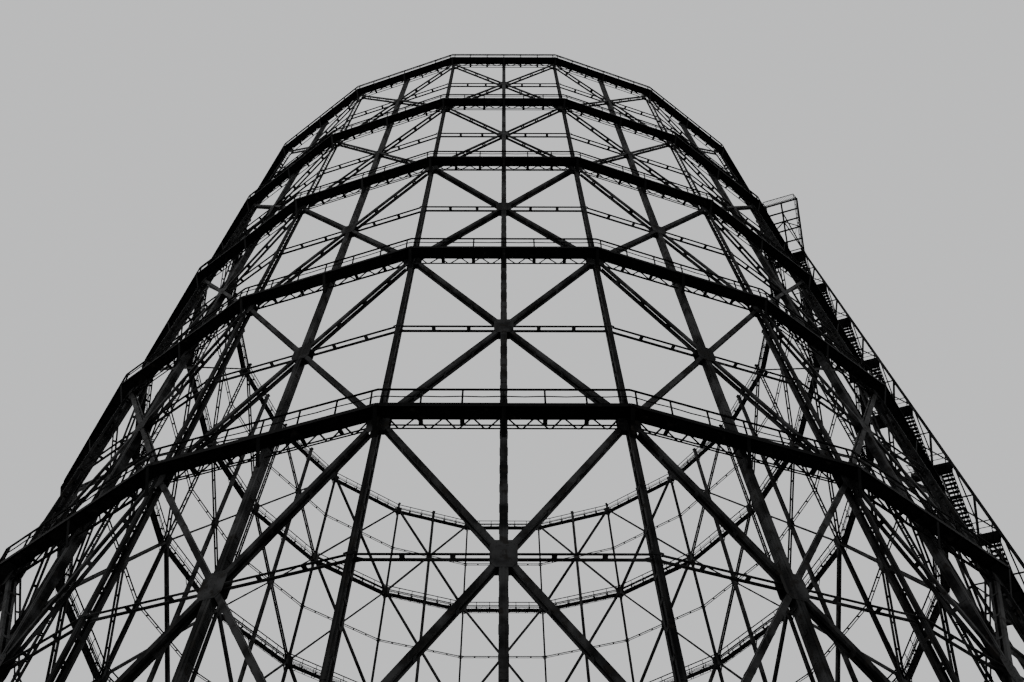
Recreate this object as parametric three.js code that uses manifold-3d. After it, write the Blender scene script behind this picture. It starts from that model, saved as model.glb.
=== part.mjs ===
import * as THREE from 'three';
import { mergeVertices } from 'three/addons/utils/BufferGeometryUtils.js';
import Module from 'manifold-3d';

// A gas holder with a twenty-sided riveted guide frame, six tiers high, as a 1:10 model.
// Millimetres, +Z up. The origin is the middle of the holder at ground level.
// The front side faces -Y. A bay is one side in its own turned group: there +X runs along
// the side, -Y points outwards, and side number k is turned by k steps round the ring.

// Driving dimensions, in model millimetres (one tenth of the real size)
const SIDE_COUNT = 20;
const TIER_COUNT = 6;
const TIER_HEIGHT = 1380;
const WALKWAY_APOTHEM = 3111;
const FRAME_OUTER_APOTHEM = 3054;
const FRAME_DEPTH = 40;
const COLUMN_WIDTH = 22;
const COLUMN_PLATE = 5;
const POST_WIDTH = 29;
const POST_RISE_OVER_DECK = 105;
const LOWER_BRACE_WIDTH = 20;
const UPPER_BRACE_WIDTH = 13;
const LIGHT_TIERS = 2;
const CORNER_PLATE_REACH = 42;
const CHORD_HEIGHT = 20;
const TIE_HEIGHT = 7;
const FOOT_PLATE_HEIGHT = 30;
const CLEARANCE = 0.3;

const DECK_THICKNESS = 4;
const FASCIA_HEIGHT = 26;
const GIRDER_DROP = 40;
const GIRDER_RISE = 36;
const RING_PLATE = 4;

const TANK_WALL_INNER_APOTHEM = 2980;
const TANK_WALL_OUTER_APOTHEM = 3092;
const TANK_WALL_HEIGHT = 60;
const CROWN_RIM_HEIGHT = 45;
const CROWN_RISE = 150;
const CROWN_SEGMENTS = 40;
const CROWN_ARC_STEPS = 5;

const STAIR_SIDE = 4;
const TOWER_INNER = 3265;
const TOWER_OUTER = 3435;
const TOWER_LENGTH = 490;
const TOWER_POST = 14;
const TOWER_STRUT = 9;
const TOWER_BRACE = 8;
const TOWER_FRAME_THICKNESS = 8;
const TOWER_RISE_OVER_DECK = 115;
const LANDING_DEPTH = 96;
const LANDING_THICKNESS = 6;
const LANE_GAP = 6;
const TREADS = 14;
const STRINGER_DROP = 13;
const FLIGHT_HEADER = 4;
const FLIGHT_SEAT = 1;
const GANGWAY_WIDTH = 80;

const PLATFORM_LENGTH = 660;
const PLATFORM_DEPTH = 12;
const PLATFORM_BAYS = [110, 110, 110, 142];
const PLATFORM_BEAM = 10;
const PLATFORM_MIDDLE_BEAM = 3275;

// What follows from them
const SIDE_ANGLE = (2 * Math.PI) / SIDE_COUNT;
const HALF_ANGLE = SIDE_ANGLE / 2;
const FRAME_TOP = TIER_COUNT * TIER_HEIGHT;
const FRAME_FOOT = TANK_WALL_HEIGHT + CLEARANCE;
const POST_TOP = FRAME_TOP + POST_RISE_OVER_DECK;
const FRAME_INNER_APOTHEM = FRAME_OUTER_APOTHEM - FRAME_DEPTH;
const FRAME_MID_APOTHEM = FRAME_OUTER_APOTHEM - FRAME_DEPTH / 2;
const COLUMN_REACH = (COLUMN_WIDTH / 2) * Math.sin(HALF_ANGLE);
const COLUMN_OUTER = (FRAME_OUTER_APOTHEM - COLUMN_REACH) / Math.cos(HALF_ANGLE);
const CORNER_X = FRAME_MID_APOTHEM * Math.tan(HALF_ANGLE);
const COLUMN_HALF_CUT = COLUMN_WIDTH / 2 / Math.cos(HALF_ANGLE);
const SIDE_EDGE = FRAME_INNER_APOTHEM * Math.tan(HALF_ANGLE) - COLUMN_HALF_CUT - CLEARANCE;
const WALKWAY_INNER_APOTHEM = FRAME_OUTER_APOTHEM + CLEARANCE;
const BRACE_SLOPE = TIER_HEIGHT / 2 / CORNER_X;
const BRACE_COSINE = 1 / Math.hypot(1, BRACE_SLOPE);
const HALF_LEVEL = TIER_HEIGHT / 2;
const FLIGHT_RISE = TIER_HEIGHT / 4;

const wasm = await Module();
wasm.setup();

const holder = new THREE.Group();

const paint = (color) => new THREE.MeshStandardMaterial({ color, roughness: 0.62, metalness: 0.45 });
const columnPaint = paint(0x26282a);
const latticePaint = paint(0x2c2e30);
const walkwayPaint = paint(0x1f2123);
const stairPaint = paint(0x303234);
const crownPaint = paint(0x3a3c3e);
const tankConcrete = new THREE.MeshStandardMaterial({ color: 0x8b8984, roughness: 0.9, metalness: 0 });

function addPiece(parent, name, geometry, material) {
  const piece = new THREE.Mesh(geometry, material);
  piece.name = name;
  parent.add(piece);
  return piece;
}

function bayGroup(angle) {
  const bay = new THREE.Group();
  bay.rotation.z = angle;
  holder.add(bay);
  return bay;
}

function plate(outline, depth) {
  const shape = new THREE.Shape(outline.map(([x, y]) => new THREE.Vector2(x, y)));
  return new THREE.ExtrudeGeometry(shape, { depth, bevelEnabled: false });
}

function manifoldOf(geometry) {
  const bare = geometry.clone();
  bare.deleteAttribute('normal');
  bare.deleteAttribute('uv');
  const merged = mergeVertices(bare);
  const vertProperties = new Float32Array(merged.attributes.position.array);
  const triVerts = new Uint32Array(merged.index.array);
  return new wasm.Manifold(new wasm.Mesh({ numProp: 3, vertProperties, triVerts }));
}

function geometryOf(manifold) {
  const mesh = manifold.getMesh();
  const geometry = new THREE.BufferGeometry();
  geometry.setAttribute('position', new THREE.BufferAttribute(new Float32Array(mesh.vertProperties), 3));
  geometry.setIndex(new THREE.BufferAttribute(new Uint32Array(mesh.triVerts), 1));
  return geometry;
}

function plateWithHoles(outline, holes, depth) {
  const cutThrough = (hole) => {
    const cutter = plate(hole, 3 * depth);
    cutter.translate(0, 0, -depth);
    return manifoldOf(cutter);
  };
  const cutters = holes.map(cutThrough);
  return geometryOf(cutters.reduce((rest, cutter) => rest.subtract(cutter), manifoldOf(plate(outline, depth))));
}

function mirrored(points) {
  return points.map(([x, y]) => [-x, y]).reverse();
}

const number = (k) => String(k + 1).padStart(2, '0');

// Corner columns: an open section of two flanges joined by a web, from the tank wall
// to a little above the top walkway.

function columnGeometry() {
  const half = COLUMN_WIDTH / 2;
  const web = COLUMN_PLATE / 2;
  const outer = -COLUMN_OUTER;
  const inner = outer + FRAME_DEPTH;
  const rightHalf = [
    [half, outer],
    [half, outer + COLUMN_PLATE],
    [web, outer + COLUMN_PLATE],
    [web, inner - COLUMN_PLATE],
    [half, inner - COLUMN_PLATE],
    [half, inner],
  ];
  const section = [...rightHalf, ...mirrored(rightHalf)];
  const geometry = plate(section, POST_TOP - FRAME_FOOT);
  geometry.translate(0, 0, FRAME_FOOT);
  return geometry;
}

// Lattice sides: the middle post, the crossed braces of the six tiers, the tie at the middle
// of each tier, the sill and the top chord of one side, riveted together where they cross.

function braceWidth(tier) {
  return tier < TIER_COUNT - LIGHT_TIERS ? LOWER_BRACE_WIDTH : UPPER_BRACE_WIDTH;
}

function braceHalfHeight(tier) {
  return braceWidth(tier) / 2 / BRACE_COSINE;
}

function crossingLevel(tier) {
  return (tier + 0.5) * TIER_HEIGHT;
}

function sideOutline() {
  const post = POST_WIDTH / 2;
  const tie = TIE_HEIGHT / 2;
  const right = [[SIDE_EDGE, FRAME_FOOT]];
  for (let tier = 0; tier < TIER_COUNT; tier += 1) {
    const middle = crossingLevel(tier);
    const reach = BRACE_SLOPE * SIDE_EDGE - braceHalfHeight(tier);
    right.push([SIDE_EDGE, Math.max(middle - reach, FRAME_FOOT + FOOT_PLATE_HEIGHT)]);
    right.push([post, middle - tie], [SIDE_EDGE, middle - tie]);
    right.push([SIDE_EDGE, middle + tie], [post, middle + tie]);
    right.push([SIDE_EDGE, middle + reach]);
  }
  right.push([SIDE_EDGE, FRAME_TOP], [post, FRAME_TOP], [post, POST_TOP]);
  return [...right, ...mirrored(right)];
}

function sideHoles() {
  const post = POST_WIDTH / 2;
  const cornerPlate = CORNER_X - CORNER_PLATE_REACH;
  const sill = FRAME_FOOT + CHORD_HEIGHT;
  const topChord = FRAME_TOP - CHORD_HEIGHT;
  const rise = (tier) => BRACE_SLOPE * post + braceHalfHeight(tier);
  const firstCrossing = crossingLevel(0);
  const lastTier = TIER_COUNT - 1;
  const right = [[
    [post, sill],
    [(firstCrossing - braceHalfHeight(0) - sill) / BRACE_SLOPE, sill],
    [post, firstCrossing - rise(0)],
  ]];
  for (let tier = 0; tier < lastTier; tier += 1) {
    right.push([
      [post, crossingLevel(tier) + rise(tier)],
      [cornerPlate, (tier + 1) * TIER_HEIGHT],
      [post, crossingLevel(tier + 1) - rise(tier + 1)],
    ]);
  }
  right.push([
    [post, crossingLevel(lastTier) + rise(lastTier)],
    [cornerPlate, topChord],
    [post, topChord],
  ]);
  return [...right, ...right.map(mirrored)];
}

function sideGeometry() {
  const geometry = plateWithHoles(sideOutline(), sideHoles(), FRAME_DEPTH);
  geometry.rotateX(Math.PI / 2);
  geometry.translate(0, -FRAME_INNER_APOTHEM, 0);
  return geometry;
}

// Rings: a closed section swept round the twenty corners. Sections are drawn by apothem.

function ringGeometry(section) {
  const points = section.map(([apothem, z]) => new THREE.Vector2(apothem / Math.cos(HALF_ANGLE), z));
  points.push(points[0].clone());
  const geometry = new THREE.LatheGeometry(points, SIDE_COUNT);
  geometry.rotateX(Math.PI / 2);
  geometry.rotateZ(HALF_ANGLE);
  return geometry;
}

// Walkway: the deck, the edge beam outside it and the ring girder inside it.

function walkwayGeometry(level) {
  const girder = WALKWAY_INNER_APOTHEM;
  const girderFace = girder + RING_PLATE;
  const edge = WALKWAY_APOTHEM;
  const edgeBack = edge - RING_PLATE;
  return ringGeometry([
    [girder, level - GIRDER_DROP],
    [girderFace, level - GIRDER_DROP],
    [girderFace, level],
    [edge, level],
    [edge, level + FASCIA_HEIGHT],
    [edgeBack, level + FASCIA_HEIGHT],
    [edgeBack, level + DECK_THICKNESS],
    [girderFace, level + DECK_THICKNESS],
    [girderFace, level + GIRDER_RISE],
    [girder, level + GIRDER_RISE],
  ]);
}

// Base: the top of the tank wall, which carries the frame, and the crown of the lowered bell.

function tankWallGeometry() {
  return ringGeometry([
    [TANK_WALL_INNER_APOTHEM, 0],
    [TANK_WALL_OUTER_APOTHEM, 0],
    [TANK_WALL_OUTER_APOTHEM, TANK_WALL_HEIGHT],
    [TANK_WALL_INNER_APOTHEM, TANK_WALL_HEIGHT],
  ]);
}

function crownGeometry() {
  const rim = TANK_WALL_INNER_APOTHEM - CLEARANCE;
  const profile = [new THREE.Vector2(0, 0), new THREE.Vector2(rim, 0)];
  for (let step = 0; step < CROWN_ARC_STEPS; step += 1) {
    const share = 1 - step / CROWN_ARC_STEPS;
    profile.push(new THREE.Vector2(rim * share, CROWN_RIM_HEIGHT + CROWN_RISE * (1 - share * share)));
  }
  profile.push(new THREE.Vector2(0, CROWN_RIM_HEIGHT + CROWN_RISE));
  const geometry = new THREE.LatheGeometry(profile, CROWN_SEGMENTS);
  geometry.rotateX(Math.PI / 2);
  return geometry;
}

// Stair tower: two braced end frames outside the walkways, with the flights between them.

function towerEndGeometry() {
  const inner = TOWER_INNER;
  const outer = TOWER_OUTER;
  const half = TOWER_POST / 2;
  const top = FRAME_TOP + TOWER_RISE_OVER_DECK;
  const outline = [[inner - half, 0], [outer + half, 0], [outer + half, top], [inner - half, top]];
  const left = inner + half;
  const right = outer - half;
  const strut = TOWER_STRUT / 2;
  const slope = HALF_LEVEL / (right - left);
  const brace = (TOWER_BRACE / 2) * Math.hypot(1, slope);
  const holes = [];
  for (let level = 0; level < 2 * TIER_COUNT; level += 1) {
    const low = level * HALF_LEVEL + strut;
    const high = (level + 1) * HALF_LEVEL - strut;
    const rise = high - low - brace;
    const inset = (brace * (right - left)) / (high - low);
    holes.push([[left, low + brace], [right - inset, high], [left, high]]);
    holes.push([[left + inset, low], [right, low], [right, low + rise]]);
  }
  const guardLow = FRAME_TOP + strut;
  holes.push([[left, guardLow], [right, guardLow], [right, top - TOWER_STRUT], [left, top - TOWER_STRUT]]);
  const geometry = plateWithHoles(outline, holes, TOWER_FRAME_THICKNESS);
  const shapeX = new THREE.Vector3(0, -1, 0);
  const shapeY = new THREE.Vector3(0, 0, 1);
  const depthAxis = new THREE.Vector3(-1, 0, 0);
  geometry.applyMatrix4(new THREE.Matrix4().makeBasis(shapeX, shapeY, depthAxis));
  geometry.translate(TOWER_FRAME_THICKNESS / 2, 0, 0);
  return geometry;
}

function boxBetween(low, high) {
  const size = high.map((value, axis) => value - low[axis]);
  const geometry = new THREE.BoxGeometry(...size);
  geometry.translate(...low.map((value, axis) => value + size[axis] / 2));
  return geometry;
}

// One flight: a stepped body between two tread lines. It climbs along the bay from fromX
// to toX, and its lane is the pair of distances from the holder's middle that it lies between.

function flightGeometry(fromX, toX, fromZ, toZ, lane) {
  const going = (toX - fromX) / TREADS;
  const riser = (toZ - fromZ) / (TREADS + 1);
  const steps = [];
  for (let tread = 0; tread < TREADS; tread += 1) {
    const z = fromZ + (tread + 1) * riser;
    steps.push([fromX + tread * going, z], [fromX + (tread + 1) * going, z]);
  }
  const head = toX + Math.sign(going) * FLIGHT_HEADER;
  steps.push([toX, toZ], [head, toZ]);
  const underside = [[head, toZ - riser - STRINGER_DROP]];
  if (fromZ > 0) {
    underside.push([fromX, fromZ - STRINGER_DROP]);
  } else {
    underside.push([fromX + (going * STRINGER_DROP) / riser, 0], [fromX, 0]);
  }
  const geometry = plate([...steps, ...underside], lane[1] - lane[0]);
  geometry.rotateX(Math.PI / 2);
  geometry.translate(0, -lane[0], 0);
  return geometry;
}

function landingGeometry(fromX, toX, inner, outer, level) {
  return boxBetween([fromX, -outer, level - LANDING_THICKNESS], [toX, -inner, level]);
}

function stairLevel(step) {
  return step === 0 ? 0 : step * FLIGHT_RISE + DECK_THICKNESS;
}

function stairGeometry(tier) {
  const wellInner = TOWER_INNER + TOWER_POST / 2 + CLEARANCE;
  const wellOuter = TOWER_OUTER + TOWER_POST / 2;
  const laneWidth = (wellOuter - wellInner - LANE_GAP) / 2;
  const innerLane = [wellInner, wellInner + laneWidth];
  const outerLane = [wellOuter - laneWidth, wellOuter];
  const nearEdge = TOWER_FRAME_THICKNESS / 2 + CLEARANCE;
  const farEdge = TOWER_LENGTH - TOWER_FRAME_THICKNESS / 2 - CLEARANCE;
  const nearX = nearEdge + LANDING_DEPTH;
  const farX = farEdge - LANDING_DEPTH;
  const firstStep = tier * 4;
  const lastStep = firstStep + 4;
  const pieces = [];
  for (let step = firstStep; step < lastStep; step += 2) {
    const low = stairLevel(step);
    const middle = stairLevel(step + 1);
    const high = stairLevel(step + 2);
    const startX = step === firstStep ? nearX + CLEARANCE : nearX;
    const landingEnd = step + 2 === lastStep ? nearX : nearX + FLIGHT_SEAT;
    pieces.push(flightGeometry(startX, farX, low, middle, innerLane));
    pieces.push(landingGeometry(farX - FLIGHT_SEAT, farEdge, wellInner, wellOuter, middle));
    pieces.push(flightGeometry(farX, nearX, middle, high, outerLane));
    pieces.push(landingGeometry(nearEdge, landingEnd, wellInner, wellOuter, high));
  }
  const deck = stairLevel(lastStep);
  const gangwayInner = WALKWAY_APOTHEM + CLEARANCE;
  pieces.push(landingGeometry(nearX - GANGWAY_WIDTH, nearX, gangwayInner, wellInner + FLIGHT_SEAT, deck));
  const joined = pieces.map(manifoldOf).reduce((sum, piece) => sum.add(piece));
  return geometryOf(joined);
}

// Top platform: an open frame of joists beside the stair head, level with the top walkway.
// The bays run from its far end, and the last one takes what is left up to the stair tower.

function platformGeometry() {
  const right = -TOWER_FRAME_THICKNESS / 2 - CLEARANCE;
  const left = right - PLATFORM_LENGTH;
  const inner = -(WALKWAY_APOTHEM + CLEARANCE);
  const outer = -(TOWER_OUTER + TOWER_POST / 2);
  const beam = PLATFORM_BEAM;
  const outline = [[left, outer], [right, outer], [right, inner], [left, inner]];
  const rows = [
    [outer + beam, -PLATFORM_MIDDLE_BEAM - beam / 2],
    [-PLATFORM_MIDDLE_BEAM + beam / 2, inner - beam],
  ];
  const joists = [left];
  PLATFORM_BAYS.forEach((bay) => joists.push(joists.at(-1) + bay));
  joists.push(right - beam);
  const holes = [];
  for (let bay = 1; bay < joists.length; bay += 1) {
    const low = joists[bay - 1] + beam;
    const high = joists[bay];
    rows.forEach(([front, back]) => holes.push([[low, front], [high, front], [high, back], [low, back]]));
  }
  const geometry = plateWithHoles(outline, holes, PLATFORM_DEPTH);
  geometry.translate(0, 0, FRAME_TOP);
  return geometry;
}

// Assembly
addPiece(holder, 'tank_wall', tankWallGeometry(), tankConcrete);
addPiece(holder, 'bell_crown', crownGeometry(), crownPaint);

const side = sideGeometry();
const column = columnGeometry();
for (let k = 0; k < SIDE_COUNT; k += 1) {
  addPiece(bayGroup(k * SIDE_ANGLE), `side_${number(k)}`, side, latticePaint);
  addPiece(bayGroup((k + 0.5) * SIDE_ANGLE), `column_${number(k)}`, column, columnPaint);
}

for (let tier = 1; tier <= TIER_COUNT; tier += 1) {
  addPiece(holder, `walkway_${tier}`, walkwayGeometry(tier * TIER_HEIGHT), walkwayPaint);
}

const stairBay = bayGroup(STAIR_SIDE * SIDE_ANGLE);
const towerEnd = towerEndGeometry();
addPiece(stairBay, 'stair_tower_near_frame', towerEnd, stairPaint);
const farFrame = addPiece(stairBay, 'stair_tower_far_frame', towerEnd, stairPaint);
farFrame.position.x = TOWER_LENGTH;
for (let tier = 0; tier < TIER_COUNT; tier += 1) {
  addPiece(stairBay, `stair_tier_${tier + 1}`, stairGeometry(tier), stairPaint);
}
addPiece(stairBay, 'top_platform', platformGeometry(), stairPaint);

export default holder;
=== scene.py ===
import math

import bpy
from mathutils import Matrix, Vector


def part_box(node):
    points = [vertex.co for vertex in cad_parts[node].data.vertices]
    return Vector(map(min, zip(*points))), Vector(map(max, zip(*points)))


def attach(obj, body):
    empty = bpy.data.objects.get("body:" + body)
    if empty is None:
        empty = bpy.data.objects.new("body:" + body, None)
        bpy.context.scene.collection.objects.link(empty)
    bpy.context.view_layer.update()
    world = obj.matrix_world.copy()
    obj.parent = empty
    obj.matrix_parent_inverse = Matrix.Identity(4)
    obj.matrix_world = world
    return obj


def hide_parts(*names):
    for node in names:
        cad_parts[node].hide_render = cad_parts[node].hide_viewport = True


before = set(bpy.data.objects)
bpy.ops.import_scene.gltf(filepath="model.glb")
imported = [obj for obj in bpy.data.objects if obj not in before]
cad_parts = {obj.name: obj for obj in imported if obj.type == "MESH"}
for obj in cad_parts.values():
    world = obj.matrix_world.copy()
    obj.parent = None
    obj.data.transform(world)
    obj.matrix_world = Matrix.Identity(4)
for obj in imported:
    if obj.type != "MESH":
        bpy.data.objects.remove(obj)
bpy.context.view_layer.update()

# A gas holder at 1:10: a twenty-sided riveted guide frame on its tank wall, with ring walkways,
# an outside stair and the crown of the lowered bell. Every size is in metres of the model,
# one tenth of the real one. The front side faces -Y, and +Z is up.


# Tank wall. The rim of the concrete tank stands a little above the ground and carries the frame.
# It was cast in lifts against rough boards, and rain has drawn dark runs down its face.
board_height = 0.014
board_grain = 160.0
wall_run_stretch = (26, 26, 1.5)
wall_relief = 0.0012
concrete_pale = (0.30, 0.295, 0.28, 1)
concrete_dark = (0.16, 0.155, 0.148, 1)
concrete_run = (0.07, 0.066, 0.06, 1)


def add_node(tree, kind, inputs=None, **settings):
    """Adds a shader node. An input is a value, or the output of another node."""
    made = tree.nodes.new("ShaderNode" + kind)
    for name, value in settings.items():
        setattr(made, name, value)
    for socket, value in (inputs or {}).items():
        if isinstance(value, bpy.types.NodeSocket):
            tree.links.new(value, made.inputs[socket])
        else:
            made.inputs[socket].default_value = value
    return made


def maths(tree, operation, *values):
    """One Math node, and its result."""
    return add_node(tree, "Math", dict(enumerate(values)), operation=operation).outputs[0]


def times(tree, first, second):
    """The product of two values."""
    return maths(tree, "MULTIPLY", first, second)


def over(tree, first, second):
    """The first value divided by the second."""
    return maths(tree, "DIVIDE", first, second)


def minus(tree, first, second):
    """The first value less the second."""
    return maths(tree, "SUBTRACT", first, second)


def ramp(tree, value, start, end, low=0.0, high=1.0):
    """Turns a value between start and end into one between low and high, smoothly."""
    levels = {"Value": value, "From Min": start, "From Max": end, "To Min": low, "To Max": high}
    return add_node(tree, "MapRange", levels, interpolation_type="SMOOTHSTEP").outputs["Result"]


def blend(tree, share, first, second):
    """Mixes two colours, all of the second where share is 1."""
    made = add_node(tree, "Mix", data_type="RGBA")
    sockets = (s for s in made.inputs if s.enabled)
    for socket, value in zip(sockets, (share, first, second)):
        if isinstance(value, bpy.types.NodeSocket):
            tree.links.new(value, socket)
        else:
            socket.default_value = value
    return next(s for s in made.outputs if s.enabled)


def surface(tree, name):
    """The Position of each point of a surface, or the Normal there."""
    return add_node(tree, "NewGeometry").outputs[name]


def parts_of(tree, vector):
    """The X, Y and Z of a vector."""
    return add_node(tree, "SeparateXYZ", {0: vector}).outputs


def noise(tree, scale, detail=4.0, stretch=(1, 1, 1)):
    """Noise through the whole holder. stretch multiplies its scale along each axis."""
    drawn = add_node(tree, "VectorMath", {0: surface(tree, "Position"), 1: stretch}, operation="MULTIPLY")
    found = add_node(tree, "TexNoise", {"Vector": drawn.outputs[0], "Scale": scale, "Detail": detail})
    return found.outputs["Fac"]


def new_finish(name):
    """A new material, its node tree and its shader."""
    finish = bpy.data.materials.new(name)
    finish.use_nodes = True
    return finish, finish.node_tree, finish.node_tree.nodes["Principled BSDF"]


def cast_concrete():
    """Board-marked grey concrete with runs of dirt from its rim."""
    finish, tree, shader = new_finish("cast_concrete")
    cloud = noise(tree, 6.0, 6.0)
    runs = ramp(tree, noise(tree, 1.0, 4.0, wall_run_stretch), 0.50, 0.68)
    height = parts_of(tree, surface(tree, "Position"))["Z"]
    board = maths(tree, "FRACT", over(tree, height, board_height))
    joint = ramp(tree, maths(tree, "ABSOLUTE", minus(tree, board, 0.5)), 0.42, 0.5)
    colour = blend(tree, ramp(tree, cloud, 0.35, 0.65), concrete_dark, concrete_pale)
    colour = blend(tree, times(tree, runs, 0.7), colour, concrete_run)
    colour = blend(tree, times(tree, joint, 0.45), colour, concrete_run)
    tree.links.new(colour, shader.inputs["Base Color"])
    tree.links.new(ramp(tree, cloud, 0.3, 0.7, 0.78, 0.95), shader.inputs["Roughness"])
    rough = minus(tree, noise(tree, board_grain, 5.0), times(tree, joint, 0.8))
    bump = add_node(tree, "Bump", {"Height": rough, "Distance": wall_relief, "Strength": 0.6})
    tree.links.new(bump.outputs["Normal"], shader.inputs["Normal"])
    return finish


def refinish(node_name, finish):
    """Gives a node of the frame its finish, where its own shape already is the right one."""
    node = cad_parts[node_name]
    node.data.materials.clear()
    node.data.materials.append(finish)


refinish("tank_wall", cast_concrete())


# Bell crown. The roof of the lowered bell lies inside the tank wall, a shallow dome of steel
# sheets in rings. Each ring laps over the next one out, and its seams are closely riveted.
full_turn = 2 * math.pi
side_count = 20
side_angle = full_turn / side_count
half_angle = side_angle / 2
rightwards = (1, 0, 0)
inwards = (0, 1, 0)
upwards = (0, 0, 1)
nearly_upright = 0.9
crown_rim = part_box("bell_crown")[1].x
crown_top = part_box("bell_crown")[1].z
crown_edge_height = 0.045
crown_rings = 10
crown_ring_width = crown_rim / crown_rings
crown_eye = 0.012
crown_sheet_length = 0.40
crown_sheet_plate = 0.0012
sheet_steps = (2, 4)
least_sheets = 6
crown_seam_gap = 0.0008
crown_seam_margin = 0.0045
crown_rivet_pitch = 0.0075
rivet_radius = 0.0019
rivet_rise = 0.0013
rivet_root = 0.0002
rivet_top_share = 0.55
rivet_sides = 6
row_head_height = 0.0012
plain_spot = (0, 2)
crown_grey = (0.034, 0.035, 0.037, 1)
crown_faded = (0.078, 0.080, 0.083, 1)
crown_rust = (0.050, 0.031, 0.021, 1)
crown_dust = (0.150, 0.146, 0.138, 1)
coat_black = (0.0026, 0.0026, 0.0027, 1)
coat_faded = (0.0120, 0.0121, 0.0123, 1)
coat_rust = (0.0125, 0.0112, 0.0100, 1)
coat_dust = (0.034, 0.033, 0.032, 1)
coat_gloss = 0.02
coat_relief = 0.0006
coat_grain = 330.0
coat_run_stretch = (60, 60, 4)


def plus(tree, first, second):
    """The sum of two values."""
    return maths(tree, "ADD", first, second)


def new_group(name, takes, gives):
    """An empty node group with named inputs and outputs."""
    group = bpy.data.node_groups.new(name, "ShaderNodeTree")
    for side, sockets in (("INPUT", takes), ("OUTPUT", gives)):
        for label, kind in sockets.items():
            group.interface.new_socket(label, in_out=side, socket_type="NodeSocket" + kind)
    return group, group.nodes.new("NodeGroupInput").outputs, group.nodes.new("NodeGroupOutput").inputs


def weathered_coat():
    """Old oil paint on steel: faded in patches, streaked by rain, rusty in spots, dusty on top."""
    takes = {"Paint": "Color", "Faded": "Color", "Rust": "Color", "Dust": "Color", "Rust share": "Float"}
    gives = {"Colour": "Color", "Roughness": "Float", "Height": "Float"}
    group, given, wanted = new_group("Weathered coat", takes, gives)
    patches = ramp(group, noise(group, 9.0, 7.0), 0.40, 0.66)
    runs = ramp(group, noise(group, 1.0, 4.0, coat_run_stretch), 0.52, 0.70)
    grain = noise(group, coat_grain, 3.0)
    spots = plus(group, noise(group, 26.0, 9.0), times(group, grain, 0.12))
    rust = ramp(group, spots, minus(group, 1.0, given["Rust share"]), 1.0)
    rust = ramp(group, rust, 0.0, 0.25)
    level = parts_of(group, surface(group, "Normal"))["Z"]
    settled = ramp(group, noise(group, 40.0), 0.35, 0.65, 0.3, 0.9)
    ledge = times(group, ramp(group, level, 0.55, 0.95), settled)
    colour = blend(group, patches, given["Paint"], given["Faded"])
    colour = blend(group, times(group, runs, 0.35), colour, given["Dust"])
    colour = blend(group, times(group, rust, 0.8), colour, given["Rust"])
    colour = blend(group, times(group, ledge, 0.45), colour, given["Dust"])
    worn = plus(group, maths(group, "MAXIMUM", rust, ledge), times(group, patches, 0.3))
    height = plus(group, times(group, grain, 0.35), times(group, rust, 0.4))
    group.links.new(colour, wanted["Colour"])
    group.links.new(ramp(group, worn, 0.0, 1.3, 0.48, 0.86), wanted["Roughness"])
    group.links.new(height, wanted["Height"])
    return group


coat_group = weathered_coat()


def head_of(tree, across, along):
    """The height of a round rivet head, from how far a point lies from its middle both ways."""
    squares = plus(tree, times(tree, across, across), times(tree, along, along))
    far = over(tree, maths(tree, "SQRT", squares), rivet_radius)
    return ramp(tree, far, 1.0, rivet_top_share)


def painted_steel(name, paint, faded, rust_share, heads=None, rust=coat_rust, dust=coat_dust):
    """Weathered paint on steel. heads adds the rivet heads that the member carries."""
    finish, tree, shader = new_finish(name)
    coats = {"Paint": paint, "Faded": faded, "Rust": rust, "Dust": dust, "Rust share": rust_share}
    coat = add_node(tree, "Group", coats, node_tree=coat_group)
    shader.inputs["Specular IOR Level"].default_value = coat_gloss
    tree.links.new(coat.outputs["Colour"], shader.inputs["Base Color"])
    tree.links.new(coat.outputs["Roughness"], shader.inputs["Roughness"])
    relief = {"Height": coat.outputs["Height"], "Distance": coat_relief, "Strength": 0.5}
    normal = add_node(tree, "Bump", relief).outputs["Normal"]
    if heads:
        relief = {"Height": heads(tree), "Distance": row_head_height, "Strength": 1.0, "Normal": normal}
        normal = add_node(tree, "Bump", relief).outputs["Normal"]
    tree.links.new(normal, shader.inputs["Normal"])
    return finish


def ring_seam_heads(tree):
    """Rivet heads along the ring seams of the crown, the same distance apart at every seam."""
    place = parts_of(tree, surface(tree, "Position"))
    squares = plus(tree, maths(tree, "POWER", place["X"], 2.0), maths(tree, "POWER", place["Y"], 2.0))
    out = maths(tree, "SQRT", squares)
    seam = times(tree, maths(tree, "ROUND", over(tree, out, crown_ring_width)), crown_ring_width)
    count = maths(tree, "ROUND", over(tree, times(tree, seam, full_turn), crown_rivet_pitch))
    turn = over(tree, maths(tree, "ARCTAN2", place["Y"], place["X"]), full_turn)
    step = minus(tree, maths(tree, "FRACT", times(tree, turn, count)), 0.5)
    across = minus(tree, minus(tree, seam, out), crown_seam_margin)
    return head_of(tree, across, times(tree, step, crown_rivet_pitch))


def around(middle, width):
    """The two ends of a width, one half of it to each side of its middle."""
    return middle - width / 2, middle + width / 2


def rectangle(firsts, seconds):
    """Outline of a rectangle between two values each way."""
    (a, b), (c, d) = firsts, seconds
    return [(a, c), (b, c), (b, d), (a, d)]


def square_to(ahead):
    """A direction square to ahead, and level unless ahead is nearly upright."""
    return ahead.cross(Vector(upwards if abs(ahead.z) < nearly_upright else rightwards)).normalized()


def circle(right, up, radius, sides):
    """Points evenly round a circle, as seen from its middle."""
    turns = [full_turn * s / sides for s in range(sides)]
    return [right * (radius * math.cos(turn)) + up * (radius * math.sin(turn)) for turn in turns]


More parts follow.
